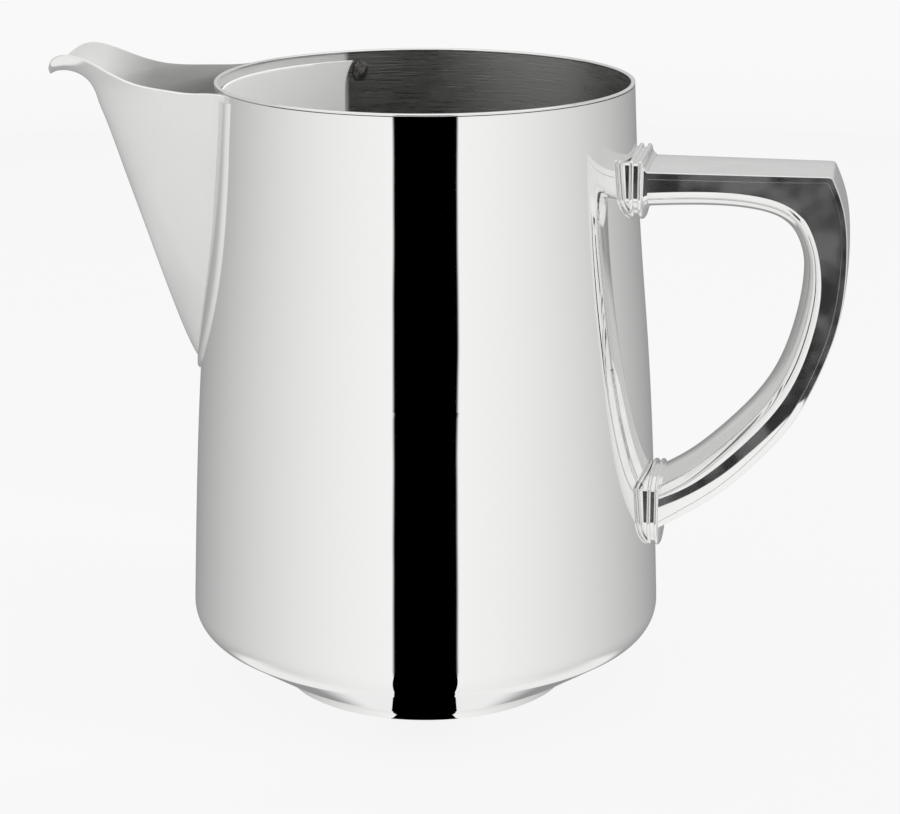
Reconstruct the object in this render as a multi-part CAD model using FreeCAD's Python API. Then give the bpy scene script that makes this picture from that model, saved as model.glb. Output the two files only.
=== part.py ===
"""Silver table jug with a V-shaped pouring spout, an ice guard and a hollow handle.

Millimetres. Origin on the table plane, on the axis of the round body. +Z is up,
+X points to the handle and -X to the spout.
"""

import FreeCAD, Part
import math
import os

V = FreeCAD.Vector

# body
JUG_H = 170.2
SHEET = 1.0
RIM_R = 56.8
RIM_TALL = 0.85
RIM_WIDE = 1.25
WALL_TOP = JUG_H - RIM_TALL
WALL_OUTSIDE = [(65.6, 24.0), (64.3, 56.0), (61.8, 97.0), (58.9, 131.0), (RIM_R, WALL_TOP)]
LAP = 5.0
SHOULDER_R = 9.0
UNDERSIDE_DEG = 33.0
FOOT_R = 39.9
FOOT_TALL = 1.45
FOOT_WIDE = 2.4

# spout: where the keel runs, and where the edge of the sheet runs beside it,
# as (distance from the axis, half width, height); nose is 1 for a sharp front
SPOUT_SHEET = 0.8
SPOUT_STATIONS = [
    ((61.0, 88.6), (60.6, 2.0, 88.6), 0.8),
    ((64.8, 92.2), (59.6, 15.4, 92.0), 0.7),
    ((70.8, 104.0), (54.8, 25.4, 104.0), 0.4),
    ((78.4, 125.0), (50.4, 29.9, 125.0), 0.4),
    ((84.7, 143.0), (47.8, 31.2, 144.5), 0.5),
    ((88.1, 153.0), (46.2, 32.0, 160.5), 0.7),
    ((89.7, 157.4), (46.6, 31.6, 168.2), 0.9),
    ((91.0, 160.6), (55.8, 27.8, 168.5), 1.0),
    ((92.1, 163.9), (66.5, 23.4, 168.5), 1.0),
    ((93.3, 166.3), (77.0, 18.4, 169.3), 1.0),
    ((94.9, 168.0), (86.0, 14.6, 172.2), 1.0),
    ((97.2, 169.2), (92.8, 12.9, 174.8), 1.0),
    ((100.0, 169.8), (98.2, 12.2, 175.2), 1.0),
    ((102.9, 169.6), (102.0, 9.4, 173.2), 1.0),
    ((105.1, 168.7), (104.8, 3.4, 170.3), 1.0),
]
BORDER_THICK = 1.0
BORDER_TOP = 167.6
BORDER_OUTER = (34.9, 87.6, 5)
BORDER_INNER = (27.6, 90.6, 3)
POUR_HALF = 21.0
POUR_TOP = 166.6
POUR_BOTTOM = 94.0

# ice guard
GUARD_GAP = 1.1
GUARD_SHEET = 0.55
GUARD_HALF_DEG = 57.0
GUARD_TOP = 167.4
GUARD_BOTTOM = 128.0
TACK_R = 1.5
TACK_DEG = 54.0
TACK_HEIGHTS = (132.0, 164.6)

# handle: outer and inner line of the side view, station by station
HANDLE_WIDE_IN = 26.6
HANDLE_WIDE_OUT = 23.8
HANDLE_WALL = 1.2
STRIP_THICK = 2.0
STRIP_EDGE_R = 0.9
HANDLE_ROUND = 6.3
HANDLE_X = 60.9
LOWER_X = 67.0
TOP_LINE = [((HANDLE_X, 149.2), (HANDLE_X, 137.9)), ((92.0, 149.2), (90.4, 137.9)),
            ((110.5, 149.2), (100.4, 132.9))]
BACK_LINE = [TOP_LINE[-1], ((113.9, 140.4), (103.0, 127.0)), ((115.3, 128.6), (103.5, 121.0)),
             ((114.5, 113.4), (102.6, 112.6)), ((110.2, 97.4), (99.2, 99.6)),
             ((103.2, 82.4), (93.6, 88.6)), ((93.8, 70.4), (85.4, 78.9)),
             ((81.4, 59.0), (74.8, 69.2)), ((LOWER_X, 49.8), (LOWER_X, 64.0))]

# collars
COLLAR_HALF = 14.0
GROOVE_DEEP = 0.7
GROOVE_WIDE = 1.1
BEAD_WIDE = 1.1
NECK = 0.4
LOWER_ARCH = 3.0
UPPER_TOP, UPPER_BOTTOM, UPPER_SIDE = 152.0, 134.2, 142.4
LOWER_TOP, LOWER_BOTTOM, LOWER_SIDE = 62.0, 42.2, 52.0
STUB_LONG = 3.5
STUB_GAP = 0.15


def spline(points):
    """Smooth edge through points (x, z) in the middle plane of the jug."""
    curve = Part.BSplineCurve()
    curve.interpolate([V(x, 0, z) for x, z in points])
    return curve.toShape()


def line(a, b):
    """Straight edge between points (x, z) in the middle plane."""
    return Part.makeLine(V(a[0], 0, a[1]), V(b[0], 0, b[1]))


def turned(edges):
    """Ring or disc swept once round the axis from edges in the middle plane."""
    face = Part.Face(Part.Wire(Part.__sortEdges__(edges)))
    return face.revolve(V(0, 0, 0), V(0, 0, 1), 360)


def wall_curve(offset):
    """Side line of the wall moved inward by offset, outward when negative."""
    return spline([(r - offset, z) for r, z in WALL_OUTSIDE])


def wall_band(outer, inner):
    """Wall-shaped ring between two inward offsets, from the lap line to the wall's top."""
    low, top = WALL_OUTSIDE[0], WALL_OUTSIDE[-1]
    return turned([
        wall_curve(outer), wall_curve(inner),
        line((low[0] - outer, low[1]), (low[0] - inner, low[1])),
        line((top[0] - outer, top[1]), (top[0] - inner, top[1]))])


def wall_core():
    """Everything inside the outer face of the wall."""
    low, top = WALL_OUTSIDE[0], WALL_OUTSIDE[-1]
    return turned([wall_curve(0), line((0, low[1]), low), line(top, (0, top[1])),
                   line((0, low[1]), (0, top[1]))])


def outline_x(points, x0, x1):
    """Block from x0 to x1 whose end view is the closed outline of (y, z) edges."""
    face = Part.Face(Part.Wire(points))
    face.translate(V(x0, 0, 0))
    return face.extrude(V(x1 - x0, 0, 0))


def yz(y, z):
    """Point in the plane seen from the spout."""
    return V(0, y, z)


def u_shape(half, top, side, bottom, x0, x1, arch=0.0):
    """Block with a flat or arched top, upright sides and a rounded bottom."""
    arc = Part.BSplineCurve()
    turn = side - bottom
    arc.interpolate([yz(half * math.cos(math.radians(a)), side - turn * math.sin(math.radians(a)))
                     for a in range(0, 181, 15)])
    over = (Part.Arc(yz(-half, top), yz(0, top + arch), yz(half, top)).toShape() if arch
            else Part.makeLine(yz(-half, top), yz(half, top)))
    return outline_x([over,
                      Part.makeLine(yz(half, top), yz(half, side)), arc.toShape(),
                      Part.makeLine(yz(-half, side), yz(-half, top))], x0, x1)


def body_wall():
    """Tapered sleeve with the pouring hole cut under the rim."""
    hole = u_shape(POUR_HALF, POUR_TOP, POUR_BOTTOM + POUR_HALF, POUR_BOTTOM, -80, 0)
    return wall_band(0, SHEET).cut(hole)


def bottom_pan():
    """Dished bottom: flat centre, sloping underside, round shoulder and a step inside the wall."""
    slope = math.radians(UNDERSIDE_DEG)
    wide, join = WALL_OUTSIDE[0]
    thick, flat = SHEET, FOOT_TALL
    corner = flat + (wide - FOOT_R) * math.tan(slope)
    tangent = SHOULDER_R * math.tan((math.pi / 2 - slope) / 2)
    centre = (wide - SHOULDER_R, corner + tangent)

    def shell(inset):
        r = SHOULDER_R - inset
        a = (centre[0] + r, centre[1])
        b = (centre[0] + r * math.sin(slope), centre[1] - r * math.cos(slope))
        m = (math.pi / 2 - slope) / 2
        mid = (centre[0] + r * math.cos(m), centre[1] - r * math.sin(m))
        rise = flat + inset
        foot = (b[0] - (b[1] - rise) / math.tan(slope), rise)
        arc = Part.Arc(V(a[0], 0, a[1]), V(mid[0], 0, mid[1]), V(b[0], 0, b[1])).toShape()
        return a, [arc, line(b, foot), line(foot, (0, rise))]

    a, outside = shell(0)
    b, inside = shell(thick)
    step = WALL_OUTSIDE[0][0] - SHEET
    pan = turned(outside + inside + [
        line(a, (a[0], join)), line((a[0], join), (b[0], join)), line((b[0], join), b),
        line((0, flat), (0, flat + thick))])
    sleeve = turned([line((step, join - 2), (step, join)), spline_step(join),
                     line((step - SHEET, join - 2), (step, join - 2)),
                     line((step - SHEET, join - 2), (step - SHEET, join)), lap_inner(join),
                     lap_top(join)])
    return pan.fuse(sleeve).removeSplitter()


def lap_curve(join, offset):
    """Part of the wall's side line along the lap, moved inward by offset."""
    edge = wall_curve(offset)
    cutter = Part.makeBox(200, 2, LAP, V(0, -1, join))
    return edge.common(cutter).Edges[0]


def spline_step(join):
    """Outer face of the lap, against the inside of the wall."""
    return lap_curve(join, SHEET)


def lap_inner(join):
    """Inner face of the lap."""
    return lap_curve(join, 2 * SHEET)


def lap_top(join):
    """Top edge of the lap."""
    a = max(lap_curve(join, SHEET).Vertexes, key=lambda v: v.Z).Point
    b = max(lap_curve(join, 2 * SHEET).Vertexes, key=lambda v: v.Z).Point
    return Part.makeLine(a, b)


def foot_ring():
    """Ring that the jug stands on, soldered under the flat centre."""
    inner, outer = FOOT_R - FOOT_WIDE, FOOT_R
    ring = turned([line((inner, 0), (outer, 0)), line((outer, 0), (outer, FOOT_TALL)),
                   line((outer, FOOT_TALL), (inner, FOOT_TALL)),
                   line((inner, FOOT_TALL), (inner, 0))])
    low = [e for e in ring.Edges if e.BoundBox.ZMax < 0.01 and e.BoundBox.XMax > outer - 0.01]
    return ring.makeFillet(0.4, low)


def rim_wire():
    """Half-round wire soldered on the top edge of the wall, in twelve welded lengths."""
    inner, outer, side = RIM_R - RIM_WIDE, RIM_R, WALL_TOP + 0.35
    crown = Part.Arc(V(outer, 0, side), V((inner + outer) / 2, 0, JUG_H), V(inner, 0, side))
    face = Part.Face(Part.Wire([line((inner, WALL_TOP), (outer, WALL_TOP)),
                                line((outer, WALL_TOP), (outer, side)), crown.toShape(),
                                line((inner, side), (inner, WALL_TOP))]))
    step = 360 / 12
    lengths = []
    for i in range(12):
        piece = face.revolve(V(0, 0, 0), V(0, 0, 1), step)
        piece.rotate(V(0, 0, 0), V(0, 0, 1), i * step)
        lengths.append(piece)
    return lengths[0].multiFuse(lengths[1:])


def spout_lines():
    """Keel, sheet edge and front bluntness along the spout, as smooth curves."""
    rows = [[V(r, 0, z) for (r, z), _, _ in SPOUT_STATIONS],
            [V(r, y, z) for _, (r, y, z), _ in SPOUT_STATIONS]]
    at = [0.0]
    for i in range(1, len(SPOUT_STATIONS)):
        at.append(at[-1] + sum((row[i] - row[i - 1]).Length for row in rows) / 2)
    rows.append([V(t, 0, n) for t, (_, _, n) in zip(at, SPOUT_STATIONS)])
    curves = []
    for row in rows:
        curve = Part.BSplineCurve()
        curve.interpolate(Points=row, Parameters=at)
        curves.append(curve)
    return curves


def spout_grid(steps=41, across=17):
    """Points on the outer face of the spout, from its bottom to the tip of the beak.

    Each section leaves the keel square to the middle plane and bends back to the
    edge as a hyperbola: back = (sqrt(w*w + n*n) - n) / (sqrt(1 + n*n) - n).
    """
    keel, edge, nose = spout_lines()
    rows = []
    for i in range(steps):
        k, e, n = (c.value(c.LastParameter * i / (steps - 1)) for c in (keel, edge, nose))
        n = n.z
        row = []
        for j in range(across):
            w = 2 * j / (across - 1) - 1
            back = (math.sqrt(w * w + n * n) - n) / (math.sqrt(1 + n * n) - n)
            row.append(V(-(k.x + (e.x - k.x) * back), e.y * w, k.z + (e.z - k.z) * back))
        rows.append(row)
    return rows


def moved_in(rows, distance):
    """The same grid moved along its inward normals."""
    last_i, last_j = len(rows) - 1, len(rows[0]) - 1
    out = []
    for i, row in enumerate(rows):
        line_out = []
        for j, p in enumerate(row):
            along = rows[min(i + 1, last_i)][j] - rows[max(i - 1, 0)][j]
            across = row[min(j + 1, last_j)] - row[max(j - 1, 0)]
            n = along.cross(across)
            n.normalize()
            line_out.append(p + n * distance)
        out.append(line_out)
    return out


def between(front, back):
    """Closed solid between two grids of points."""
    faces, borders = [], []
    for rows in (front, back):
        surface = Part.BSplineSurface()
        surface.interpolate(rows)
        faces.append(surface.toShape())
        u0, u1, v0, v1 = surface.bounds()
        borders.append([surface.uIso(u0).toShape(), surface.uIso(u1).toShape(),
                        surface.vIso(v0).toShape(), surface.vIso(v1).toShape()])
    faces += [Part.makeRuledSurface(a, b) for a, b in zip(*borders)]
    shell = Part.makeShell(faces)
    shell.sewShape()
    solid = Part.makeSolid(shell)
    if solid.Volume < 0:
        solid.reverse()
    return solid


def spout(core, border):
    """V-shaped sheet spout that stands on its border and on the wall."""
    rows = spout_grid()
    sheet = between(rows, moved_in(rows, SPOUT_SHEET)).cut(core).cut(border)
    return max(sheet.Solids, key=lambda s: s.Volume)


def shield(half, bottom, power, x0, x1):
    """Shield-shaped prism, flat on top: (y / half)**2 + (drop / height)**power = 1."""
    points = []
    for i in range(25):
        a = math.pi * i / 24
        drop = (BORDER_TOP - bottom) * math.sin(a) ** (2 / power)
        points.append(yz(half * math.cos(a), BORDER_TOP - drop))
    curve = Part.BSplineCurve()
    curve.interpolate(points)
    return outline_x([curve.toShape(), Part.makeLine(points[-1], points[0])], x0, x1)


def spout_border():
    """Shield-shaped strip on the wall that the spout stands on."""
    band = wall_band(-BORDER_THICK, 0)
    return band.common(shield(*BORDER_OUTER, -80, 0).cut(shield(*BORDER_INNER, -90, 10)))


def sector(half_deg, z0, z1):
    """Wedge on the spout side of the axis."""
    a = math.radians(half_deg)
    far = 90.0
    face = Part.Face(Part.makePolygon([
        V(0, 0, z0), V(-far * math.cos(a), -far * math.sin(a), z0), V(-far * 1.9, 0, z0),
        V(-far * math.cos(a), far * math.sin(a), z0), V(0, 0, z0)]))
    return face.extrude(V(0, 0, z1 - z0))


def ice_guard():
    """Thin curved plate that hangs in front of the pouring hole."""
    near = SHEET + GUARD_GAP
    return wall_band(near, near + GUARD_SHEET).common(
        sector(GUARD_HALF_DEG, GUARD_BOTTOM, GUARD_TOP))


def guard_tacks():
    """Drops of solder between the guard and the inside of the wall."""
    gap = wall_band(SHEET, SHEET + GUARD_GAP)
    drops = []
    for z in TACK_HEIGHTS:
        for side in (-1, 1):
            a = math.radians(TACK_DEG * side)
            out = V(-math.cos(a), math.sin(a), 0)
            drops.append(gap.common(Part.makeCylinder(TACK_R, 70, V(0, 0, z), out)))
    return Part.makeCompound([s for d in drops for s in d.Solids])


def at_depth(pair, depth):
    """Point of a handle station, depth inward from its outer line."""
    (ax, az), (bx, bz) = pair
    long = math.hypot(bx - ax, bz - az)
    return ax + (bx - ax) * depth / long, az + (bz - az) * depth / long


def station_depth(pair):
    """Full depth of the handle at a station."""
    (ax, az), (bx, bz) = pair
    return math.hypot(bx - ax, bz - az)


def side_view(outer_depth, inner_left, half):
    """Block seen from the side as the handle between two depths, half wide each way."""
    def lines(depth_of):
        top = [at_depth(p, depth_of(p)) for p in TOP_LINE]
        back = [at_depth(p, depth_of(p)) for p in BACK_LINE]
        return top, back
    t0, b0 = lines(lambda p: outer_depth)
    t1, b1 = lines(lambda p: station_depth(p) - inner_left)
    edges = [line(t0[0], t0[-1]), spline(b0), line(b0[-1], b1[-1]), spline(t1 + b1[1:]),
             line(t1[0], t0[0])]
    face = Part.Face(Part.Wire(edges))
    face.translate(V(0, -half, 0))
    return face.extrude(V(0, 2 * half, 0))


def taper(inset):
    """Block that narrows from the collars to the far side of the handle."""
    x0, x1 = HANDLE_X, 110.0
    in_, out = HANDLE_WIDE_IN / 2 - inset, HANDLE_WIDE_OUT / 2 - inset
    grow = (out - in_) / (x1 - x0)
    far, near = in_ + grow * (140 - x0), in_ + grow * (40 - x0)
    face = Part.Face(Part.makePolygon([V(40, -near, 30), V(140, -far, 30), V(140, far, 30),
                                       V(40, near, 30), V(40, -near, 30)]))
    return face.extrude(V(0, 0, 140))


def rounded_inside(block, radius, inner_left):
    """Rounds the two long edges of the handle's inner side."""
    mid = at_depth(BACK_LINE[3], station_depth(BACK_LINE[3]) - inner_left)
    picked = []
    for e in block.Edges:
        box = e.BoundBox
        if box.XLength > 20 and box.ZLength > 40 and abs(abs(box.XMax) - mid[0]) < 2.5:
            picked.append(e)
    return block.makeFillet(radius, picked)


def handle_channel():
    """Hollow inner part of the handle: two flat sides and a rounded inside, open outward."""
    outside = rounded_inside(side_view(STRIP_THICK, 0, 20).common(taper(0)), HANDLE_ROUND, 0)
    hollow = rounded_inside(
        side_view(STRIP_THICK - 0.5, HANDLE_WALL, 20).common(taper(HANDLE_WALL)),
        HANDLE_ROUND - HANDLE_WALL, HANDLE_WALL)
    return outside.cut(hollow)


def handle_strip():
    """Outer strip that closes the channel, with soft long edges."""
    def lines(depth):
        return ([at_depth(p, depth) for p in TOP_LINE], [at_depth(p, depth) for p in BACK_LINE])
    t0, b0 = lines(0)
    t1, b1 = lines(STRIP_THICK)
    face = Part.Face(Part.Wire([line(t0[0], t0[-1]), spline(b0), line(b0[-1], b1[-1]), spline(b1),
                                line(t1[-1], t1[0]), line(t1[0], t0[0])]))
    face.translate(V(0, -20, 0))
    strip = face.extrude(V(0, 40, 0)).common(taper(0))
    soft = [e for e in strip.Edges
            if e.BoundBox.XMax > 110.2 and e.BoundBox.XLength > 20
            and (e.BoundBox.ZMin > 149.1 or e.BoundBox.XMax > 115.2)]
    return strip.makeFillet(STRIP_EDGE_R, soft)


def collar(top, side, bottom, face_x, arch, core, hollow):
    """Moulded collar: bead, groove, bead and root, with a stub that fits inside the handle."""
    front = face_x - NECK
    beads = [u_shape(COLLAR_HALF, top, side, bottom, x - BEAD_WIDE, x, arch)
             for x in (front, front - BEAD_WIDE - GROOVE_WIDE)]
    root = u_shape(COLLAR_HALF - GROOVE_DEEP, top - GROOVE_DEEP, side, bottom + GROOVE_DEEP,
                   40, face_x, arch)
    stub = hollow.common(Part.makeBox(STUB_LONG, 60, 200, V(face_x, -30, 0)))
    solid = root.fuse(beads).cut(core).fuse(stub).removeSplitter()
    return max(solid.Solids, key=lambda s: s.Volume)


def hollow_core():
    """The space inside the closed handle, less a little room for the stubs."""
    room = HANDLE_WALL + STUB_GAP
    return rounded_inside(
        side_view(STRIP_THICK + STUB_GAP, room, 20).common(taper(room)),
        HANDLE_ROUND - room, room)


def check(name, shape):
    """Prints one line on a sub-part."""
    box = shape.BoundBox
    print(f"{name:16s} solids {len(shape.Solids)} valid {shape.isValid()} "
          f"volume {shape.Volume:9.1f} x {box.XMin:7.2f} {box.XMax:7.2f} "
          f"y {box.YMin:6.2f} {box.YMax:6.2f} z {box.ZMin:6.2f} {box.ZMax:6.2f}")


core = wall_core()
hollow = hollow_core()
border = spout_border()
parts = {
    "body_wall": body_wall(),
    "bottom_pan": bottom_pan(),
    "foot_ring": foot_ring(),
    "rim_wire": rim_wire(),
    "spout": spout(core, border),
    "spout_border": border,
    "ice_guard": ice_guard(),
    "guard_tacks": guard_tacks(),
    "handle_channel": handle_channel(),
    "handle_strip": handle_strip(),
    "upper_collar": collar(UPPER_TOP, UPPER_SIDE, UPPER_BOTTOM, HANDLE_X, 0.0, core, hollow),
    "lower_collar": collar(LOWER_TOP, LOWER_SIDE, LOWER_BOTTOM, LOWER_X, LOWER_ARCH, core, hollow),
}
os.makedirs("parts", exist_ok=True)
for name, shape in parts.items():
    check(name, shape)
    shape.exportStep(f"parts/{name}.step")
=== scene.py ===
import math

import bmesh
import bpy
import numpy as np
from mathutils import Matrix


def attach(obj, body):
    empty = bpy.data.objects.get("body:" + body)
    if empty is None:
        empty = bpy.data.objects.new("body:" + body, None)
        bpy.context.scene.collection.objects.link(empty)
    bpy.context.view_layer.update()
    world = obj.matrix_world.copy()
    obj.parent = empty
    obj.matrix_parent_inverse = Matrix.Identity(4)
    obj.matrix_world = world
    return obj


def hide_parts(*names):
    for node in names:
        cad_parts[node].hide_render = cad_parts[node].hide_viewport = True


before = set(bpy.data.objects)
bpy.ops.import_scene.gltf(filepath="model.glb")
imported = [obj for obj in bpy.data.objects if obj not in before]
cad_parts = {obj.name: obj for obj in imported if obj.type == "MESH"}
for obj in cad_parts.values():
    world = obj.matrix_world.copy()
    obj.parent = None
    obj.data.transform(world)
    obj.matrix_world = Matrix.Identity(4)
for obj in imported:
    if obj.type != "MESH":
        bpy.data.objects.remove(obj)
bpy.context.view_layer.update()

# ---------------------------------------------------------------- sizes, mm
JUG_TALL = 170.2
SHEET = 1.0
RIM_RADIUS = 56.8
RIM_TALL = 0.85
RIM_WIDE = 1.25
WALL_TOP = JUG_TALL - RIM_TALL
WALL_OUTSIDE = np.array([(65.6, 24.0), (64.3, 56.0), (61.8, 97.0), (58.9, 131.0),
                         (RIM_RADIUS, WALL_TOP)])
LAP = 5.0
SHOULDER_RADIUS = 9.0
UNDERSIDE_SLOPE = math.radians(33.0)
FOOT_RADIUS = 39.9
FOOT_TALL = 1.45
FOOT_WIDE = 2.4

POUR_HALF = 21.0
POUR_TOP = 166.6
POUR_BOTTOM = 94.0

SPOUT_SHEET = 0.8
SPOUT_SUNK = 0.2          # how far the sheet's end goes into the wall
SPOUT_KEEL = np.array([(61.0, 88.6), (64.8, 92.2), (70.8, 104.0), (78.4, 125.0), (84.7, 143.0),
                       (88.1, 153.0), (89.7, 157.4), (91.0, 160.6), (92.1, 163.9),
                       (93.3, 166.3), (94.9, 168.0), (97.2, 169.2), (100.0, 169.8),
                       (102.9, 169.6), (105.1, 168.7)])
SPOUT_EDGE = np.array([(60.6, 2.0, 88.6), (59.6, 15.4, 92.0), (54.8, 25.4, 104.0),
                       (50.4, 29.9, 125.0), (47.8, 31.2, 144.5), (46.2, 32.0, 160.5),
                       (46.6, 31.6, 168.2), (55.8, 27.8, 168.5), (66.5, 23.4, 168.5),
                       (77.0, 18.4, 169.3), (86.0, 14.6, 172.2), (92.8, 12.9, 174.8),
                       (98.2, 12.2, 175.2), (102.0, 9.4, 173.2), (104.8, 3.4, 170.3)])
SPOUT_NOSE = np.array([0.8, 0.7, 0.4, 0.4, 0.5, 0.7, 0.9, 1, 1, 1, 1, 1, 1, 1, 1.0])

BORDER_THICK = 1.0
BORDER_TOP = 167.6
BORDER_OUTER = (34.9, 87.6, 5.0)
BORDER_INNER = (27.6, 90.6, 3.0)

GUARD_GAP = 1.1
GUARD_SHEET = 0.55
GUARD_HALF = math.radians(57.0)
GUARD_TOP = 167.4
GUARD_BOTTOM = 128.0
GUARD_FLARE = 0.045       # radians by which each upper corner reaches further round
FLARE_TALL = 8.0
# angle from the spout, height, size
SOLDER_DROPS = ((0.96, 132.0, 1.2), (1.045, 164.2, 2.1))

HANDLE_START = 60.9
HANDLE_WIDE_IN = 26.6
HANDLE_WIDE_OUT = 23.8
HANDLE_FAR = 110.0
STRIP_THICK = 2.0
HANDLE_OUTER = np.array([(60.5, 149.2), (92.0, 149.2), (110.5, 149.2), (113.9, 140.4),
                         (115.3, 128.6), (114.5, 113.4), (110.2, 97.4), (103.2, 82.4),
                         (93.8, 70.4), (81.4, 59.0), (66.8, 49.7)])
HANDLE_INNER = np.array([(60.5, 137.9), (90.4, 137.9), (100.4, 132.9), (103.0, 127.0),
                         (103.5, 121.0), (102.6, 112.6), (99.2, 99.6), (93.6, 88.6),
                         (85.4, 78.9), (74.8, 69.2), (66.8, 63.9)])
HANDLE_CORNER = 2         # the outer line is straight up to this point
HANDLE_ROUND = 5.9        # depth of the round on the inside of the D
FLARE = 0.08              # share by which the lower sides draw in toward the strip
CROWN = 0.2
STRIP_EDGE = 0.3          # radius of the strip's long edges
SEAM_DEEP, SEAM_IN = 0.07, 0.012      # hairline seam between strip and channel

COLLAR_SUNK = 0.3         # how far each collar's root goes into the wall
# face, half width, top, start of the round, bottom, arch, moulding's scale, outline on the handle
COLLARS = {"upper_collar": (60.9, 14.0, 152.0, 142.4, 134.2, 0.0, 1.0,
                            (13.25, 149.15, 143.2, 138.0, 0.0)),
           "lower_collar": (67.0, 14.0, 62.0, 52.0, 42.2, 3.0, 0.85, None)}

VIEW_AZIMUTH = -79.4      # from the jug to the camera, degrees round from the handle


# ---------------------------------------------------------------- curves
def spline(knots, values, at):
    """Natural cubic spline: cubics through values at knots, with no curvature at the ends."""
    values = np.asarray(values, float).reshape(len(knots), -1)
    step = np.diff(knots)
    slope = np.diff(values, axis=0) / step[:, None]
    system = np.eye(len(knots))
    inside = np.arange(1, len(knots) - 1)
    system[inside, inside - 1] = step[:-1]
    system[inside, inside] = 2 * (step[:-1] + step[1:])
    system[inside, inside + 1] = step[1:]
    right = np.zeros_like(values)
    right[1:-1] = 6 * np.diff(slope, axis=0)
    bend = np.linalg.solve(system, right)
    seg = np.clip(np.searchsorted(knots, at) - 1, 0, len(step) - 1)
    h, a, b = step[seg][:, None], (at - knots[seg])[:, None], (knots[seg + 1] - at)[:, None]
    return (bend[seg] * b ** 3 / (6 * h) + bend[seg + 1] * a ** 3 / (6 * h)
            + (values[seg] / h - bend[seg] * h / 6) * b
            + (values[seg + 1] / h - bend[seg + 1] * h / 6) * a)


def running(points):
    """Distance along a chain of points, from nought."""
    return np.concatenate([[0], np.cumsum(np.linalg.norm(np.diff(points, axis=0), axis=1))])


WALL_KNOTS = running(WALL_OUTSIDE)
WALL_LINE = spline(WALL_KNOTS, WALL_OUTSIDE, np.linspace(0, WALL_KNOTS[-1], 600))


def wall_radius(z):
    """Outer radius of the wall at height z."""
    return np.interp(z, WALL_LINE[:, 1], WALL_LINE[:, 0])


def arc_points(centre, radius, start, end, count):
    """Points on a circular arc from angle start to end, radians from the outward direction."""
    a = np.linspace(start, end, count)
    return np.stack([centre[0] + radius * np.cos(a), centre[1] + radius * np.sin(a)], 1)


# ---------------------------------------------------------------- meshes
def turned(profile, columns=288):
    """Grid of a profile (radius, height) swept round the axis: (r cos a, r sin a, z)."""
    a = np.linspace(0, 2 * math.pi, columns + 1)
    r, z = profile[:, :1], profile[:, 1:2]
    return np.stack([r * np.cos(a), r * np.sin(a), z + 0 * a], -1)


def plate(front, back, ends=(0.3, 0.3, 0.3, 0.3)):
    """Sheets that close two facing grids.

    Each open side gets a rounded edge: middle + half cos(a) + outward * bulge * sin(a).
    ends holds the bulge at the first row, last row, first column and last column.
    """
    sheets = [front, back[::-1]]
    sides = ((front[0], back[0], front[1]), (front[-1], back[-1], front[-2]),
             (front[:, 0], back[:, 0], front[:, 1]), (front[:, -1], back[:, -1], front[:, -2]))
    a = np.linspace(0, math.pi, 7)[:, None, None]
    for (f, b, near), bulge in zip(sides, ends):
        if bulge is None:
            continue
        out = f - near
        out = out / np.maximum(np.linalg.norm(out, axis=-1, keepdims=True), 1e-9)
        sheets.append((f + b) / 2 + (f - b) / 2 * np.cos(a) + out * bulge * np.sin(a))
    return sheets


def joined(grids):
    """Corners and four-sided faces of several grids, one after another."""
    corners, faces, start = [], [], 0
    for grid in grids:
        rows, cols = grid.shape[:2]
        index = start + np.arange(rows * cols).reshape(rows, cols)
        quad = np.stack([index[:-1, :-1], index[:-1, 1:], index[1:, 1:], index[1:, :-1]], -1)
        corners.append(grid.reshape(-1, 3))
        faces.append(quad.reshape(-1, 4))
        start += rows * cols
    return np.concatenate(corners), np.concatenate(faces).tolist()


def placed(name, data):
    """Object of the given mesh, lamp or camera, in the scene at the origin."""
    made = bpy.data.objects.new(name, data)
    bpy.context.scene.collection.objects.link(made)
    return made


def piece(name, sheets, finishes, sharp=40.0, stands_for=()):
    """One closed mesh from grids of points in mm; each sheet is (grid, finish number)."""
    corners, faces = joined([grid for grid, _ in sheets])
    finish = [np.full((len(grid) - 1) * (len(grid[0]) - 1), number) for grid, number in sheets]
    mesh = bpy.data.meshes.new(name)
    mesh.from_pydata(corners * 0.001, [], faces)
    mesh.polygons.foreach_set("material_index", np.concatenate(finish).astype(np.int32))
    bm = bmesh.new()
    bm.from_mesh(mesh)
    bmesh.ops.remove_doubles(bm, verts=bm.verts, dist=2e-6)
    bmesh.ops.dissolve_degenerate(bm, dist=1e-7, edges=bm.edges)
    bmesh.ops.recalc_face_normals(bm, faces=bm.faces)
    bm.to_mesh(mesh)
    bm.free()
    for material in finishes:
        mesh.materials.append(material)
    mesh.shade_smooth()
    mesh.set_sharp_from_angle(angle=math.radians(sharp))
    obj = placed(name, mesh)
    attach(obj, "root")
    if stands_for:
        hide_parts(*stands_for)


# ---------------------------------------------------------------- finishes
def colour(code):
    """Linear colour from an sRGB hex code."""
    s = np.array([int(code[i:i + 2], 16) for i in (1, 3, 5)]) / 255
    linear = np.where(s <= 0.04045, s / 12.92, ((s + 0.055) / 1.055) ** 2.4)
    return (*linear.tolist(), 1.0)


def node(tree, kind, inputs=None, links=None, **settings):
    """Adds a node with its settings, its socket values and its incoming links."""
    made = tree.nodes.new(kind)
    for key, value in settings.items():
        setattr(made, key, value)
    for key, value in (inputs or {}).items():
        made.inputs[key].default_value = value
    for key, source in (links or {}).items():
        tree.links.new(source, made.inputs[key])
    return made


def new_finish(name):
    """Empty material and its tree."""
    material = bpy.data.materials.new(name)
    material.use_nodes = True
    material.node_tree.nodes.clear()
    return material, material.node_tree


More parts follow.
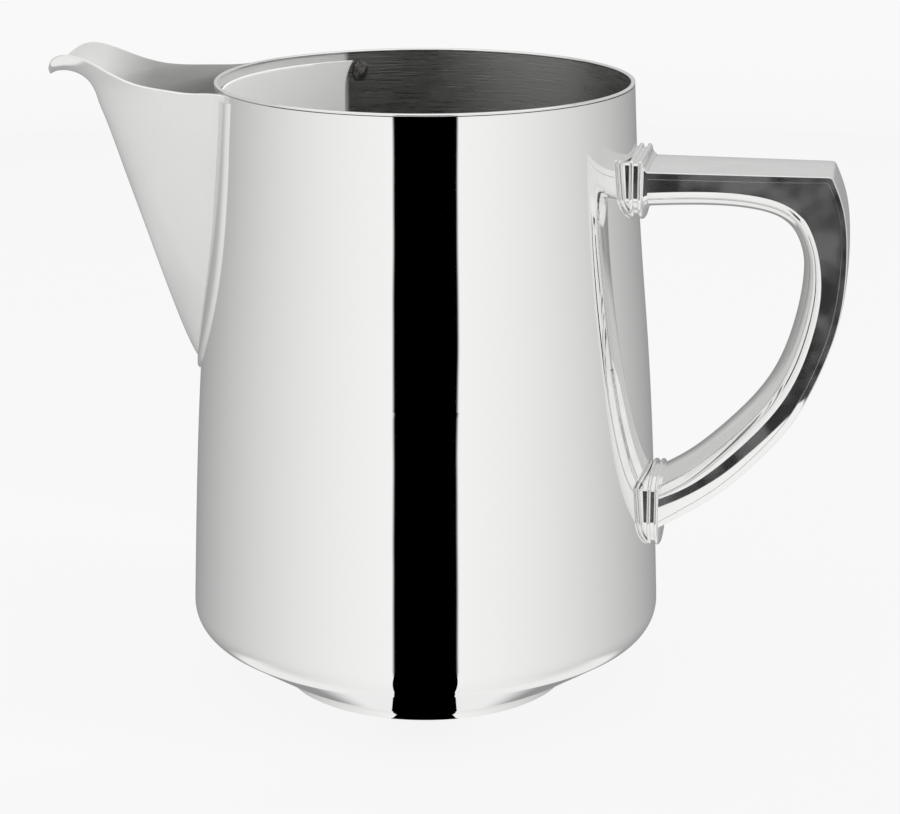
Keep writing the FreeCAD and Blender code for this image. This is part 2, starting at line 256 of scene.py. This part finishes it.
def polished_silver(name, haze=0.0, scratch=0.012, wave=0.02, patches=120.0):
    """Silver plate on nickel brass, buffed to a mirror that shows clean, bright reflections.

    Hair scratches only spread a highlight a little; they are drawn as patches 3 mm wide,
    since single ones are too fine to show. Hand work leaves slow waves some 25 mm long that
    bend a straight reflection slightly. haze is the share of light that fine wear and finger
    marks scatter. Its patches are 1 m / patches wide, so 8 mm as a rule.
    """
    material, tree = new_finish(name)
    place = node(tree, "ShaderNodeTexCoord").outputs["Object"]
    waves = node(tree, "ShaderNodeTexNoise", {"Scale": 40.0, "Detail": 1.0}, {"Vector": place})
    bump = node(tree, "ShaderNodeBump", {"Strength": wave, "Distance": 0.002},
                {"Height": waves.outputs["Fac"]})
    wear = node(tree, "ShaderNodeTexNoise", {"Scale": 320.0, "Detail": 4.0}, {"Vector": place})
    rough = node(tree, "ShaderNodeMapRange",
                 {"From Min": 0.3, "From Max": 0.8, "To Min": scratch, "To Max": scratch * 3},
                 {"Value": wear.outputs["Fac"]})
    smudge = node(tree, "ShaderNodeTexNoise", {"Scale": patches, "Detail": 1.0}, {"Vector": place})
    clean = node(tree, "ShaderNodeMapRange",
                 {"From Min": 0.4, "From Max": 0.68, "To Min": 1.0 - haze * 0.7,
                  "To Max": 1.0 - haze * 2.6}, {"Value": smudge.outputs["Fac"]})
    skin = node(tree, "ShaderNodeBsdfPrincipled", {"Base Color": colour("#F8F8F7")},
                {"Roughness": rough.outputs["Result"], "Metallic": clean.outputs["Result"],
                 "Normal": bump.outputs["Normal"]})
    node(tree, "ShaderNodeOutputMaterial", links={"Surface": skin.outputs["BSDF"]})
    return material


def satin_silver(name, base, streak_low, streak_high, depth, matt_from, matt_to):
    """Inside of the silver sheet, left as it was scoured: fine streaks run round the wall.

    Grit streaks are about 0.4 mm apart and some 11 mm long. By the spout the heat of the
    soldering has left the silver matt white, from matt_from to matt_to metres along x.
    """
    material, tree = new_finish(name)
    place = node(tree, "ShaderNodeTexCoord").outputs["Object"]
    along = node(tree, "ShaderNodeMapping", {"Scale": (90.0, 90.0, 2600.0)}, {"Vector": place})
    streaks = node(tree, "ShaderNodeTexNoise", {"Scale": 1.0, "Detail": 3.0, "Roughness": 0.7},
                   {"Vector": along.outputs["Vector"]})
    rough = node(tree, "ShaderNodeMapRange",
                 {"From Min": 0.3, "From Max": 0.7, "To Min": streak_low, "To Max": streak_high},
                 {"Value": streaks.outputs["Fac"]})
    bump = node(tree, "ShaderNodeBump", {"Strength": depth, "Distance": 0.0003},
                {"Height": streaks.outputs["Fac"]})
    skin = node(tree, "ShaderNodeBsdfPrincipled", {"Base Color": colour(base), "Metallic": 1.0},
                {"Roughness": rough.outputs["Result"], "Normal": bump.outputs["Normal"]})
    white = node(tree, "ShaderNodeBsdfPrincipled",
                 {"Base Color": colour("#D6D6D4"), "Metallic": 0.2, "Roughness": 0.55},
                 {"Normal": bump.outputs["Normal"]})
    side = node(tree, "ShaderNodeSeparateXYZ", links={"Vector": place})
    heated = node(tree, "ShaderNodeMapRange", {"From Min": matt_from, "From Max": matt_to},
                  {"Value": side.outputs["X"]})
    blend = node(tree, "ShaderNodeMixShader",
                 links={"Fac": heated.outputs["Result"], 1: skin.outputs["BSDF"],
                        2: white.outputs["BSDF"]})
    node(tree, "ShaderNodeOutputMaterial", links={"Surface": blend.outputs["Shader"]})
    return material


def pickled_silver(name):
    """Silver heated and washed in acid: a fine matt white skin that scatters most light."""
    material, tree = new_finish(name)
    place = node(tree, "ShaderNodeTexCoord").outputs["Object"]
    frost = node(tree, "ShaderNodeTexNoise", {"Scale": 2500.0, "Detail": 2.0}, {"Vector": place})
    bump = node(tree, "ShaderNodeBump", {"Strength": 0.15, "Distance": 0.0001},
                {"Height": frost.outputs["Fac"]})
    skin = node(tree, "ShaderNodeBsdfPrincipled",
                {"Base Color": colour("#FBFBFA"), "Metallic": 0.12, "Roughness": 0.5},
                {"Normal": bump.outputs["Normal"]})
    node(tree, "ShaderNodeOutputMaterial", links={"Surface": skin.outputs["BSDF"]})
    return material


def dull_solder(name):
    """Hard solder run between two sheets and left unpolished: grey, grainy, half matt; its dark
    tones are partly painted shadow round the solder fillets.
    """
    material, tree = new_finish(name)
    place = node(tree, "ShaderNodeTexCoord").outputs["Object"]
    grain = node(tree, "ShaderNodeTexNoise", {"Scale": 1400.0, "Detail": 3.0}, {"Vector": place})
    tone = node(tree, "ShaderNodeValToRGB", links={"Fac": grain.outputs["Fac"]})
    # dark end of the ramp: partly the solder's own grey, partly painted shadow at the fillets
    tone.color_ramp.elements[0].color = colour("#3A3937")
    tone.color_ramp.elements[1].color = colour("#8C8B87")
    bump = node(tree, "ShaderNodeBump", {"Strength": 0.5, "Distance": 0.0002},
                {"Height": grain.outputs["Fac"]})
    skin = node(tree, "ShaderNodeBsdfPrincipled", {"Metallic": 0.85, "Roughness": 0.45},
                {"Base Color": tone.outputs["Color"], "Normal": bump.outputs["Normal"]})
    node(tree, "ShaderNodeOutputMaterial", links={"Surface": skin.outputs["BSDF"]})
    return material


mirror = polished_silver("mirror_silver")
spout_mirror = polished_silver("hand_buffed_silver", haze=0.24, scratch=0.03, wave=0.06,
                               patches=24.0)
worn_mirror = polished_silver("handled_silver", haze=0.07, scratch=0.02, wave=0.05)
# the body's inside takes a darker base, #979795, than the spout's: painted shade for the deep
# inside of the jug, over its real scoured streaks
inside_satin = satin_silver("scoured_inside_painted_shade", "#979795", 0.2, 0.5, 0.4, -0.0310, -0.0322)
spout_satin = satin_silver("scoured_spout", "#B8B8B6", 0.28, 0.45, 0.1, -0.080, -0.092)
guard_white = pickled_silver("pickled_guard")
# the tacks' finish: grey solder with painted shadow in its darkest tones
solder = dull_solder("grey_solder_and_painted_shadow")


# ---------------------------------------------------------------- body
def round_wall(angle, z, inset):
    """Points on the wall at angles from the spout: (-r cos a, r sin a, z), r = R(z) - inset."""
    r = wall_radius(z) - inset
    return np.stack([-r * np.cos(angle), r * np.sin(angle), z + 0 * angle], -1)


def wall_sheets(columns=288):
    """Tapered sleeve with a pouring hole, as an outer and an inner skin and their edges.

    Beside the hole the angle runs from asin(half / r) round to the same angle on the far side;
    half is the hole's half width, a flat-topped U.
    """
    share = np.linspace(0, 1, columns + 1)[None, :]
    low = np.linspace(WALL_OUTSIDE[0, 1], POUR_BOTTOM, 40)[:, None]
    bend = POUR_BOTTOM + POUR_HALF * (1 - np.cos(np.linspace(0, math.pi / 2, 24)))
    middle = np.concatenate([bend, np.linspace(bend[-1], POUR_TOP, 30)[1:]])[:, None]
    top = np.linspace(POUR_TOP, WALL_TOP, 4)[:, None]
    drop = np.clip(POUR_BOTTOM + POUR_HALF - middle, 0, POUR_HALF)
    half = np.sqrt(POUR_HALF ** 2 - drop ** 2)
    skins = []
    for inset in (0.0, SHEET):
        opening = np.arcsin(half / (wall_radius(middle) - inset))
        last = opening[-1:]
        beside = last + (2 * math.pi - 2 * last) * share
        over = -last + 2 * last * np.linspace(0, 1, 41)[None, :]
        skins.append([round_wall(2 * math.pi * share, low, inset),
                      round_wall(opening + (2 * math.pi - 2 * opening) * share, middle, inset),
                      round_wall(beside, top, inset), round_wall(over, top, inset)])
    outer, inner = skins
    edges = [np.stack([outer[0][0], inner[0][0]]), np.stack([outer[1][:, 0], inner[1][:, 0]]),
             np.stack([outer[1][:, -1], inner[1][:, -1]]),
             np.stack([outer[3][0], inner[3][0]]), np.stack([outer[2][-1], inner[2][-1]]),
             np.stack([outer[3][-1], inner[3][-1]])]
    return ([(g, 0) for g in outer] + [(g, 1) for g in inner] + [(g, 1) for g in edges])


def pan_profiles():
    """Outer and inner lines of the dished bottom, from the middle out to the lap."""
    wide, join = WALL_OUTSIDE[0]
    corner = FOOT_TALL + (wide - FOOT_RADIUS) * math.tan(UNDERSIDE_SLOPE)
    tangent = SHOULDER_RADIUS * math.tan((math.pi / 2 - UNDERSIDE_SLOPE) / 2)
    centre = (wide - SHOULDER_RADIUS, corner + tangent)
    lines = []
    for inset in (0.0, SHEET):
        radius = SHOULDER_RADIUS - inset
        arc = arc_points(centre, radius, UNDERSIDE_SLOPE - math.pi / 2, 0, 24)
        level = FOOT_TALL + inset
        foot = (arc[0, 0] - (arc[0, 1] - level) / math.tan(UNDERSIDE_SLOPE), level)
        flat = np.stack([np.linspace(0, foot[0], 20), np.full(20, level)], 1)
        cone = np.linspace(foot, arc[0], 16)
        lines.append(np.concatenate([flat, cone[1:], arc[1:]]))
    outer = np.concatenate([lines[0], [(wide, join), (wide - SHEET, join)]])
    lap = np.linspace(join, join + LAP, 8)
    outside = np.stack([wall_radius(lap) - SHEET, lap], 1)
    inside = np.stack([wall_radius(lap[::-1]) - 2 * SHEET, lap[::-1]], 1)
    under = np.array([(wide - 2 * SHEET, join - 2), (wide - SHEET - 0.05, join - 2)])
    inner = np.concatenate([outside[1:], inside, under, lines[1][::-1]])
    return outer, inner


def foot_profile():
    """Closed line round the foot ring's section, its lower corners rounded."""
    inner, outer, r = FOOT_RADIUS - FOOT_WIDE, FOOT_RADIUS, 0.4
    return np.concatenate([
        [(outer, FOOT_TALL)], arc_points((outer - r, r), r, 0, -math.pi / 2, 7),
        arc_points((inner + r, r), r, -math.pi / 2, -math.pi, 7), [(inner, FOOT_TALL)],
        [(outer, FOOT_TALL)]])


def rim_sheet(columns=360):
    """Oval wire on the wall's edge, slightly uneven in height as hand-soldered wire is."""
    a = np.linspace(0, 2 * math.pi, columns + 1)[None, :]
    t = np.linspace(0, 2 * math.pi, 25)[:, None]
    wide, tall = RIM_WIDE / 2, RIM_TALL / 2
    waver = 0.012 * np.sin(7 * a + 1.0) + 0.009 * np.sin(17 * a) + 0.006 * np.sin(41 * a + 0.4)
    r = RIM_RADIUS - wide + wide * np.cos(t) + 0.4 * waver
    z = WALL_TOP + tall - 0.03 + (tall + waver * 0.5) * np.sin(t)
    return np.stack([r * np.cos(a), r * np.sin(a), z], -1)


piece("body_wall_skin", wall_sheets(), [mirror, inside_satin], stands_for=["body_wall"])
pan_outer, pan_inner = pan_profiles()
piece("bottom_pan_skin", [(turned(pan_outer), 0), (turned(pan_inner), 1)],
      [mirror, inside_satin], stands_for=["bottom_pan"])
piece("foot_ring_skin", [(turned(foot_profile()), 0)], [mirror], stands_for=["foot_ring"])
piece("rim_wire_skin", [(rim_sheet(), 0)], [mirror], stands_for=["rim_wire"])


# ---------------------------------------------------------------- spout
def spout_rows(rows=260):
    """Keel, edge and nose along the spout, paired by their mean running distance."""
    keel = np.insert(SPOUT_KEEL, 1, 0.0, axis=1)
    knots = (running(keel) + running(SPOUT_EDGE)) / 2
    at = np.linspace(0, knots[-1], rows)
    return spline(knots, keel, at), spline(knots, SPOUT_EDGE, at), spline(knots, SPOUT_NOSE, at)


def spout_points(keel, edge, nose, w):
    """Outer face: back = (sqrt(w*w + n*n) - n) / (sqrt(1 + n*n) - n), from keel to edge."""
    back = (np.sqrt(w ** 2 + nose ** 2) - nose) / (np.sqrt(1 + nose ** 2) - nose)
    x = keel[:, :1] + (edge[:, :1] - keel[:, :1]) * back
    z = keel[:, 2:] + (edge[:, 2:] - keel[:, 2:]) * back
    return np.stack([-x, edge[:, 1:2] * w, z], -1)


def surface_normals(grid):
    """Unit normals of a grid from its central differences."""
    n = np.cross(np.gradient(grid, axis=0), np.gradient(grid, axis=1))
    return n / np.maximum(np.linalg.norm(n, axis=-1, keepdims=True), 1e-9)


def spout_grids(across=97):
    """Outer and inner face, each row trimmed by halving where it enters the wall.

    The sheet is drawn out to half its thickness at the beak's tip.
    """
    keel, edge, nose = spout_rows()
    low, high = np.zeros((len(keel), 1)), np.ones((len(keel), 1))
    for _ in range(30):
        w = (low + high) / 2
        p = spout_points(keel, edge, nose, w)
        inside = np.hypot(p[..., 0], p[..., 1]) < wall_radius(p[..., 2]) - SPOUT_SUNK
        low, high = np.where(inside, low, w), np.where(inside, w, high)
    reach = low
    keep = reach[:, 0] > 0.02
    keel, edge, nose, reach = keel[keep], edge[keep], nose[keep], reach[keep]
    front = spout_points(keel, edge, nose, np.linspace(-1, 1, across)[None, :] * reach)
    along = np.linspace(0, 1, len(front))[:, None, None]
    thin = SPOUT_SHEET * (1 - 0.5 * np.clip((along - 0.8) / 0.2, 0, 1))
    back = front - surface_normals(front) * thin
    return front, back


front, back = spout_grids()
piece("spout_skin", [(s, n) for s, n in zip(plate(front, back, (0.0, 0.35, 0.35, 0.35)),
                                             (0, 1, 0, 0, 0, 0))],
      [spout_mirror, spout_satin], stands_for=["spout"])


def shield(half, bottom, power, count=161):
    """Shield outline (y, z): (y / half)^2 + (drop / height)^power = 1, flat on top."""
    a = np.linspace(0, math.pi, count)
    drop = (BORDER_TOP - bottom) * np.sin(a) ** (2 / power)
    return np.stack([half * np.cos(a), BORDER_TOP - drop], 1)


def border_grids():
    """Strip on the wall between two shield outlines, crowned across its width."""
    across = np.linspace(0, 1, 21)[:, None, None]
    line = shield(*BORDER_INNER) * (1 - across) + shield(*BORDER_OUTER) * across
    y, z = line[..., 0], line[..., 1]
    lift = BORDER_THICK * (1 - np.abs(2 * across[..., 0] - 1) ** 6) ** 0.5
    skins = []
    for out in (lift, 0 * lift):
        r = wall_radius(z) + out
        skins.append(np.stack([-np.sqrt(r ** 2 - y ** 2), y, z], -1))
    return skins


front, back = border_grids()
piece("spout_border_skin", [(s, 0) for s in plate(front, back, (0, 0, 0, 0))], [mirror],
      stands_for=["spout_border"])


# ---------------------------------------------------------------- ice guard
def guard_grids():
    """Thin plate that follows the wall inside the pouring hole, its upper corners flared."""
    z = np.linspace(GUARD_BOTTOM, GUARD_TOP, 60)[:, None]
    flare = np.clip(1 - (GUARD_TOP - z) / FLARE_TALL, 0, 1) ** 2
    a = np.linspace(-1, 1, 121)[None, :] * (GUARD_HALF - GUARD_FLARE + GUARD_FLARE * flare)
    z = z + 0 * a
    inset = SHEET + GUARD_GAP
    return round_wall(a, z, inset + GUARD_SHEET), round_wall(a, z, inset)


def solder_drop(angle, z, size, seed):
    """Lumpy drop: an ellipsoid whose radius varies as 1 + 0.22 sin(3u + s) sin(4v + 2s)."""
    u = np.linspace(0, 2 * math.pi, 41)[None, :]
    v = np.linspace(0, math.pi, 21)[:, None]
    lump = 1 + 0.22 * np.sin(3 * u + seed) * np.sin(4 * v + 2 * seed)
    r = wall_radius(z) - SHEET - GUARD_GAP / 2
    out = np.array([-math.cos(angle), math.sin(angle)])
    side = np.array([math.sin(angle), math.cos(angle)])
    d = 0.75 * lump * np.sin(v) * np.cos(u)
    t = size * lump * np.sin(v) * np.sin(u)
    return np.stack([out[0] * (r + d) + side[0] * t, out[1] * (r + d) + side[1] * t,
                     z + 1.3 * size * lump * np.cos(v)], -1)


front, back = guard_grids()
piece("ice_guard_skin", [(s, 0) for s in plate(front, back, (0.1, 0.1, 0.1, 0.1))], [guard_white],
      stands_for=["ice_guard"])
piece("guard_tacks_skin",
      [(solder_drop(side * angle, z, size, side + z), 0)
       for side in (-1, 1) for angle, z, size in SOLDER_DROPS],
      [solder], stands_for=["guard_tacks"])


# ---------------------------------------------------------------- handle
def handle_rows(rows=420):
    """Outer and inner line of the side view, the outer corner eased by a short moving mean."""
    inner_knots = running(HANDLE_INNER)
    outer_knots = running(HANDLE_OUTER)
    mean_knots = (inner_knots + outer_knots) / 2
    at = np.linspace(0, mean_knots[-1], rows)
    inner = spline(mean_knots, HANDLE_INNER, at)
    turn = mean_knots[HANDLE_CORNER]
    bar = np.stack([np.interp(at, mean_knots, HANDLE_OUTER[:, 0]),
                    np.full(rows, HANDLE_OUTER[0, 1])], 1)
    back = spline(mean_knots[HANDLE_CORNER:], HANDLE_OUTER[HANDLE_CORNER:], np.maximum(at, turn))
    outer = np.where(at[:, None] < turn, bar, back)
    kernel = np.hanning(9) / np.hanning(9).sum()
    padded = np.pad(outer, ((4, 4), (0, 0)), mode="reflect", reflect_type="odd")
    eased = np.stack([np.convolve(padded[:, i], kernel, "valid") for i in (0, 1)], 1)
    return eased, inner


def handle_width(x):
    """Half width of the handle, narrowing from the collars to its far side."""
    t = (np.minimum(x, HANDLE_FAR) - HANDLE_START) / (HANDLE_FAR - HANDLE_START)
    return (HANDLE_WIDE_IN + (HANDLE_WIDE_OUT - HANDLE_WIDE_IN) * t) / 2


def section_grid(outer, inner, share, depth):
    """Carries section points (share of half width, depth from the outer line) along the handle."""
    way = inner - outer
    way = way / np.linalg.norm(way, axis=1, keepdims=True)
    half = handle_width(outer[:, :1])
    return np.stack([outer[:, :1] + way[:, :1] * depth, half * share + 0 * depth,
                     outer[:, 1:] + way[:, 1:] * depth], -1)


def side_share(outer, inner, depth):
    """Half width of the side at a depth: flat by the top, 1 - k (1 - depth / side)^2 lower down.

    k grows from nought at 110 mm up to FLARE at 75 mm, so the handle turns from a flat-sided
    bar to a rounded one.
    """
    side = np.linalg.norm(inner - outer, axis=1, keepdims=True) - HANDLE_ROUND
    t = np.clip((110.0 - outer[:, 1:]) / 35.0, 0, 1)
    k = FLARE * t * t * (3 - 2 * t)
    return 1 - k * np.clip(1 - depth / side, 0, 1) ** 2, side


def channel_section(outer, inner):
    """U section: sides from the strip down, then half an ellipse round the inside."""
    none = np.zeros((len(outer), 1))
    side = side_share(outer, inner, none)[1]
    start = STRIP_THICK + SEAM_DEEP
    down = start + (side - start) * np.linspace(0.08, 1, 12)[None, :]
    depth = np.concatenate([none + STRIP_THICK, none + start, down], 1)
    share = side_share(outer, inner, depth)[0]
    share[:, 0] -= SEAM_IN
    a = np.linspace(0, math.pi, 73)[None, 1:-1]
    bowl = side + HANDLE_ROUND * np.sin(a)
    return section_grid(outer, inner,
                        np.concatenate([share, np.cos(a) + none, -share[:, ::-1]], 1),
                        np.concatenate([depth, bowl, depth[:, ::-1]], 1))


def strip_section(outer, inner):
    """Crowned strip: depth = CROWN |v|^3 across its face, then a small round and its side."""
    none = np.zeros((len(outer), 1))
    v = np.linspace(-1, 1, 41)[None, :]
    round_off = np.linspace(0, math.pi / 2, 7)[None, 1:]
    r = STRIP_EDGE
    edge = side_share(outer, inner, none + CROWN + r)[0]
    face = edge - r / handle_width(outer[:, :1])
    corner = CROWN + r * (1 - np.cos(round_off)) + none
    corner_share = face + (edge - face) * np.sin(round_off)
    low = none + np.array([[CROWN + r + 0.3, STRIP_THICK - SEAM_DEEP, STRIP_THICK]])
    low_share = side_share(outer, inner, low)[0]
    low_share[:, -1] -= SEAM_IN
    right_share = np.concatenate([corner_share, low_share], 1)
    right_depth = np.concatenate([corner, low], 1)
    share = np.concatenate([-right_share[:, ::-1], v * face, right_share, -right_share[:, -1:]], 1)
    depth = np.concatenate([right_depth[:, ::-1], CROWN * np.abs(v) ** 3 + none, right_depth,
                            right_depth[:, -1:]], 1)
    return section_grid(outer, inner, share, depth)


outer_line, inner_line = handle_rows()
u_grid = channel_section(outer_line, inner_line)
lid = np.stack([u_grid[:, 0], u_grid[:, -1]], 1)


def end_cap(grid, row):
    """Flat cap: the section's points drawn in to their middle."""
    ring = grid[row]
    middle = ring.mean(axis=0)
    return np.stack([ring, middle + (ring - middle) * 1e-4])


piece("handle_channel_skin",
      [(u_grid, 0), (lid, 0), (end_cap(u_grid, 0), 0), (end_cap(u_grid, -1), 0)],
      [worn_mirror], sharp=30, stands_for=["handle_channel"])
s_grid = strip_section(outer_line, inner_line)
piece("handle_strip_skin", [(s_grid, 0), (end_cap(s_grid, 0), 0), (end_cap(s_grid, -1), 0)],
      [worn_mirror], sharp=30, stands_for=["handle_strip"])


# ---------------------------------------------------------------- collars
def collar_outline(half, top, side, bottom, crown, count=48):
    """Closed outline (y, z): a low arch with eased corners, upright sides, round bottom."""
    r = 0.7
    a = np.linspace(0, math.pi, count)
    bowl = np.stack([half * np.cos(a), side - (side - bottom) * np.sin(a)], 1)
    turn = np.linspace(math.pi, math.pi / 2, 6)
    left = np.stack([-half + r + r * np.cos(turn), top - r + r * np.sin(turn)], 1)
    y = np.linspace(-half + r, half - r, 19)[1:-1]
    arch = np.stack([y, top + crown * (1 - (y / (half - r)) ** 2)], 1)
    return np.concatenate([bowl, left, arch, left[::-1] * [-1, 1], bowl[:1]])


def collar_rings(scale):
    """Side view of the moulding: (distance from the face, growth), bead, groove, bead, root."""
    t = np.linspace(0, math.pi, 11)
    bead = np.stack([np.cos(t), np.sin(t)], 1)
    rings = np.concatenate([
        [(0.0, -0.6), (-0.15, -0.45)],
        bead * [0.55, 0.42] + [-0.75, -0.42],
        [(-1.34, -0.9), (-2.36, -0.9)],
        bead * [0.6, 0.42] + [-3.0, -0.42],
        [(-3.65, -0.75), (-12.0, -0.75)]])
    return rings * [scale, 1]


def collar_sheets(face, half, top, side, bottom, crown, scale, cove):
    """Moulding carried round the outline, with a cove of the given outline on to the handle.

    Its root follows the wall just under the wall's outer face: x = sqrt(limit^2 - y^2).
    """
    rings = collar_rings(scale)
    lines = np.stack([collar_outline(half + g, top + g, side, bottom - g, crown)
                      for g in rings[:, 1]])
    x = face + rings[:, 0][:, None] + 0 * lines[..., 0]
    if cove:
        share = np.linspace(0, 1, 9)[:-1]
        onto = collar_outline(*cove)
        lines = np.concatenate([onto + (lines[0] - onto) * share[:, None, None], lines])
        x = np.concatenate([face + 1.3 * (1 - share[:, None]) ** 2.4 + 0 * x[:1], x])
    middle = lines[-1:].mean(1, keepdims=True)
    root = middle + (lines[-1:] - middle) * np.linspace(0.92, 0.02, 12)[:, None, None]
    lines = np.concatenate([lines, root])
    x = np.concatenate([x, x[-1:] + 0 * root[..., 0]])
    limit = wall_radius(lines[..., 1]) - COLLAR_SUNK
    x = np.maximum(x, np.sqrt(np.maximum(limit ** 2 - lines[..., 0] ** 2, 0)))
    grid = np.stack([x, lines[..., 0], lines[..., 1]], -1)
    return [(grid, 0), (end_cap(grid, 0), 0), (end_cap(grid, -1), 0)]


for collar, numbers in COLLARS.items():
    piece(collar + "_skin", collar_sheets(*numbers), [worn_mirror], sharp=60, stands_for=[collar])


# ---------------------------------------------------------------- studio
def soft_step(value, start, end):
    """Smooth rise from nought at start to one at end."""
    t = np.clip((value - start) / (end - start), 0, 1)
    return t * t * (3 - 2 * t)


def round_light(a):
    """Light of the tent at an angle from the camera's side: 0.283 + 0.66 ((1 + cos a) / 2)^0.75."""
    return 0.283 + 0.66 * ((1 + np.cos(a)) / 2) ** 0.75


def glow_mesh(name, grids):
    """Mesh of (points, light) grids that gives off the light stored at its points."""
    corners, faces = joined([grid for grid, _ in grids])
    light = np.concatenate([level.ravel() for _, level in grids])
    mesh = bpy.data.meshes.new(name)
    mesh.from_pydata(corners, [], faces)
    layer = mesh.attributes.new("light", "FLOAT", "POINT")
    layer.data.foreach_set("value", light.astype(np.float32))
    material, tree = new_finish("tent_cloth")
    amount = node(tree, "ShaderNodeAttribute", attribute_name="light")
    glow = node(tree, "ShaderNodeEmission", links={"Strength": amount.outputs["Fac"]})
    node(tree, "ShaderNodeOutputMaterial", links={"Surface": glow.outputs["Emission"]})
    mesh.materials.append(material)
    return placed(name, mesh)


TENT_RADIUS = 0.9         # metres, as everything in the studio
TENT_DEEP = -0.9
FLOOR_HALF = 6.0
FLOOR_GAP = 5e-5
LAMP_PLACE = (0.25, -0.02, 0.5)
CARD_HALF = 14.8          # degrees either side of the camera
DARK_BARS = ((0.44, 0.49), (0.56, 0.585), (0.66, 0.76))      # height from, to


def tent_light():
    """White tent round the jug, brightest by the camera, where a dark upright card stands.

    The far side grows lighter above the horizon and near its foot, and dark bars cross the
    near side over the card.
    """
    toward = math.radians(VIEW_AZIMUTH)
    a = np.linspace(-math.pi, math.pi, 1081)[None, :]
    z = np.concatenate([np.linspace(TENT_DEEP, -0.3, 41), np.linspace(-0.29, 0.5, 80),
                        np.linspace(0.505, 1.1, 100)])[:, None]
    wall = np.stack([TENT_RADIUS * np.cos(toward + a) + 0 * z,
                     TENT_RADIUS * np.sin(toward + a) + 0 * z, z + 0 * a], -1)
    light = round_light(a) + 0 * z
    light = light + np.maximum(0.62 - light, 0) * soft_step(z, 0.02, 0.35)
    light = light + (0.86 - light) * (soft_step(z, -0.6, -0.78)
                                      * soft_step(np.abs(np.degrees(a)), 80, 118))
    half = CARD_HALF + 1.6 * np.clip((z + 0.1) / 0.2, 0, 1) ** 2
    middle = 0.55 * soft_step(z, -0.15, 0.1) - 0.35
    apart = np.abs(np.degrees(a) - middle)
    card = ((1 - soft_step(apart, half - 0.7, half + 0.9)) * (1 - soft_step(z, 0.37, 0.4))
            * soft_step(z, -0.36, -0.345))
    bars = sum(soft_step(z, low, low + 0.015) * (1 - soft_step(z, high, high + 0.015))
               for low, high in DARK_BARS)
    bars = 0.85 * bars * (1 - soft_step(np.abs(np.degrees(a)), 45, 60))
    light = light * (1 - card) * (1 - bars)

    out = np.linspace(0, 1, 41)[:, None]
    floor = np.stack([TENT_RADIUS * out * np.cos(toward + a),
                      TENT_RADIUS * out * np.sin(toward + a), TENT_DEEP + 0 * out * a], -1)
    level = 0.9 + (light[0] - 0.9) * out ** 1.5
    tent = glow_mesh("studio_tent", [(wall, light), (floor, level)])
    tent.visible_camera = False


def table_card():
    """Foot of the dark card, a tongue on the table that only reflections show.

    It runs from under the jug to 132 mm in front, where it is widest.
    """
    toward = math.radians(VIEW_AZIMUTH)
    along = np.linspace(0.030, 0.132, 60)[:, None]
    half = np.interp(along, [0.030, 0.052, 0.064, 0.132], [0.0092, 0.0092, 0.0104, 0.0262])
    across = half * np.linspace(-1, 1, 25)[None, :] - 0.0006
    along = along + 0 * across
    grid = np.stack([along * math.cos(toward) - across * math.sin(toward),
                     along * math.sin(toward) + across * math.cos(toward),
                     -0.0004 + 0 * along], -1)
    card = glow_mesh("table_card", [(grid, 0 * along)])
    card.visible_camera = card.visible_diffuse = card.visible_shadow = False


def pale_floor():
    """Plain pale floor that gives a little light of its own, so shadows stay faint."""
    mesh = bpy.data.meshes.new("pale_floor")
    s, z = FLOOR_HALF, -FLOOR_GAP
    mesh.from_pydata([(-s, -s, z), (s, -s, z), (s, s, z), (-s, s, z)], [], [(0, 1, 2, 3)])
    material, tree = new_finish("floor_paint")
    paint = node(tree, "ShaderNodeBsdfPrincipled",
                 {"Base Color": colour("#545454"), "Roughness": 1.0, "Specular IOR Level": 0.0,
                  "Emission Color": colour("#FFFFFF"), "Emission Strength": 0.87})
    node(tree, "ShaderNodeOutputMaterial", links={"Surface": paint.outputs["BSDF"]})
    mesh.materials.append(material)
    floor = placed("pale_floor", mesh)
    floor.visible_glossy = False


def guard_lamp():
    """Small soft lamp above the handle's side that lights the matt guard inside the mouth."""
    lamp = bpy.data.lights.new("guard_lamp", "SPOT")
    lamp.energy = 5.2
    lamp.spot_size = math.radians(26)
    lamp.spot_blend = 0.8
    lamp.shadow_soft_size = 0.06
    made = placed("guard_lamp", lamp)
    made.location = LAMP_PLACE
    made.rotation_euler = (0, math.atan2(0.305, 0.355), math.atan2(-0.02, 0.305))
    made.visible_glossy = False


tent_light()
table_card()
guard_lamp()
pale_floor()
world = bpy.data.worlds.new("studio_air")
bpy.context.scene.world = world
world.use_nodes = True
world.node_tree.nodes["Background"].inputs["Color"].default_value = colour("#F7F7F7")
world.node_tree.nodes["Background"].inputs["Strength"].default_value = 1.0

camera_data = bpy.data.cameras.new("studio_camera")
camera_data.lens = 104.0
camera_data.sensor_width = 36.0
camera_data.clip_start, camera_data.clip_end = 0.01, 30.0
camera = placed("studio_camera", camera_data)
camera.location = (0.12816, -0.68734, 0.28034)
camera.rotation_euler = (math.radians(90 - 16.16), 0, math.radians(10.0))
bpy.context.scene.camera = camera
bpy.context.scene.view_settings.view_transform = "Standard"
